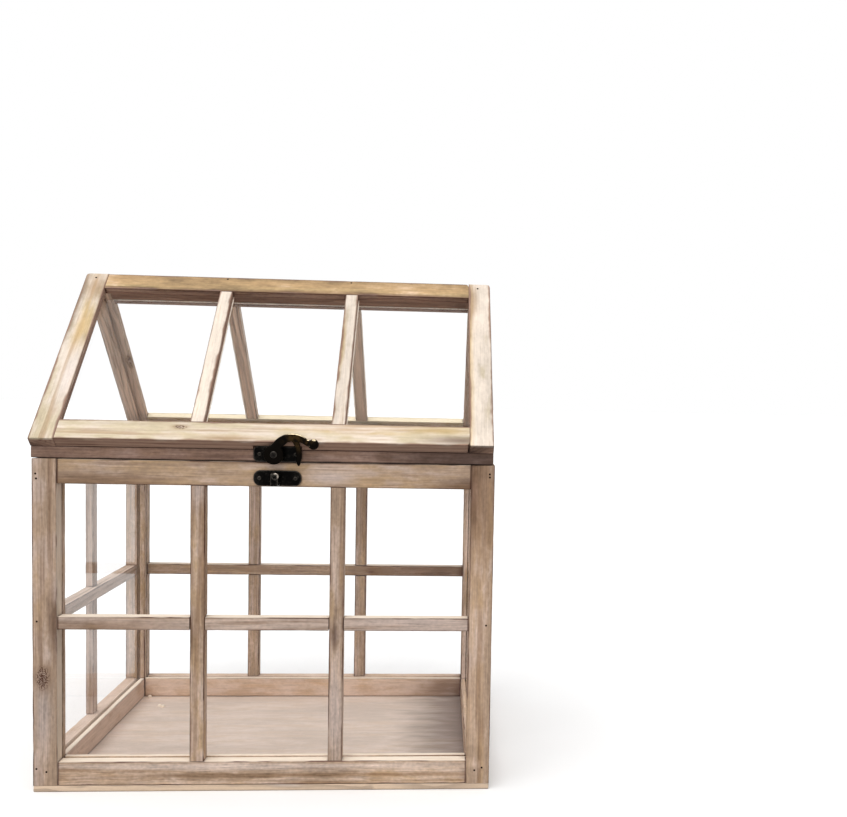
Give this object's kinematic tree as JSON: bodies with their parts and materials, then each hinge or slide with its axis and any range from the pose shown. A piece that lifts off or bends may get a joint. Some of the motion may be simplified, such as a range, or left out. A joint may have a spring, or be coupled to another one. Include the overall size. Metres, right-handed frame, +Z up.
{
  "type": "wooden mini greenhouse",
  "caption": "Tabletop glazed display greenhouse: a whitewashed wooden frame box with glass walls and a pitched glass lid that lifts on back hinges and closes with a swan-neck hook.",
  "frame": {"origin": "middle of the underside, under the centre of the whole object's bounding box", "axes": "+X along the ridge to the right of someone facing the latch, +Y from the front to the hinges, +Z up"},
  "size_m": [0.2454, 0.1952, 0.2867],
  "materials": {
    "weathered_wood": "whitewashed, worn",
    "limewashed_wood": "limewashed, worn",
    "dark_wood": "brown stained, worn",
    "clear_glass": "clear",
    "aged_bronze": "aged dark bronze"
  },
  "bodies": {
    "box": {"base_board": "weathered_wood", "front_left_post": "weathered_wood", "front_right_post": "weathered_wood", "back_left_post": "weathered_wood", "back_right_post": "weathered_wood", "front_bottom_rail": "weathered_wood", "front_top_rail": "weathered_wood", "front_crossbar": "weathered_wood", "front_upright_1": "weathered_wood", "front_upright_2": "weathered_wood", "back_bottom_rail": "weathered_wood", "back_top_rail": "weathered_wood", "back_crossbar": "weathered_wood", "back_upright_1": "weathered_wood", "back_upright_2": "weathered_wood", "left_bottom_rail": "weathered_wood", "left_top_rail": "weathered_wood", "left_crossbar": "weathered_wood", "left_upright": "weathered_wood", "right_bottom_rail": "weathered_wood", "right_top_rail": "weathered_wood", "right_crossbar": "weathered_wood", "right_upright": "weathered_wood", "front_pane": "clear_glass", "back_pane": "clear_glass", "left_pane": "clear_glass", "right_pane": "clear_glass", "catch_plate": "aged_bronze", "left_hinge_box_leaf": "aged_bronze", "right_hinge_box_leaf": "aged_bronze", "left_hinge_pin": "aged_bronze", "right_hinge_pin": "aged_bronze"},
    "lid": {"lid_front_rail": "dark_wood", "lid_back_rail": "dark_wood", "lid_left_rail": "dark_wood", "lid_right_rail": "dark_wood", "front_left_rafter": "limewashed_wood", "front_right_rafter": "limewashed_wood", "front_ridge_rail": "limewashed_wood", "front_eave_rail": "limewashed_wood", "front_roof_bar_1": "limewashed_wood", "front_roof_bar_2": "limewashed_wood", "back_left_rafter": "limewashed_wood", "back_right_rafter": "limewashed_wood", "back_ridge_rail": "limewashed_wood", "back_eave_rail": "limewashed_wood", "back_roof_bar_1": "limewashed_wood", "back_roof_bar_2": "limewashed_wood", "left_gable_pane": "clear_glass", "right_gable_pane": "clear_glass", "front_roof_pane": "clear_glass", "back_roof_pane": "clear_glass", "latch_plate": "aged_bronze", "latch_rivet": "aged_bronze", "left_hinge_lid_leaf": "aged_bronze", "right_hinge_lid_leaf": "aged_bronze"},
    "latch": {"latch_hook": "aged_bronze"}
  },
  "joints": [
    {"name": "lid_hinge", "type": "hinge", "parent": "box", "child": "lid", "pos_m": [0.00025, 0.09495, 0.1802], "axis": [-1, 0, 0], "range_deg": [0, 170]},
    {"name": "latch_pivot", "type": "hinge", "parent": "lid", "child": "latch", "pos_m": [0.00465, -0.0948, 0.1844], "axis": [0, 1, 0], "range_deg": [-90, 77]}
  ]
}
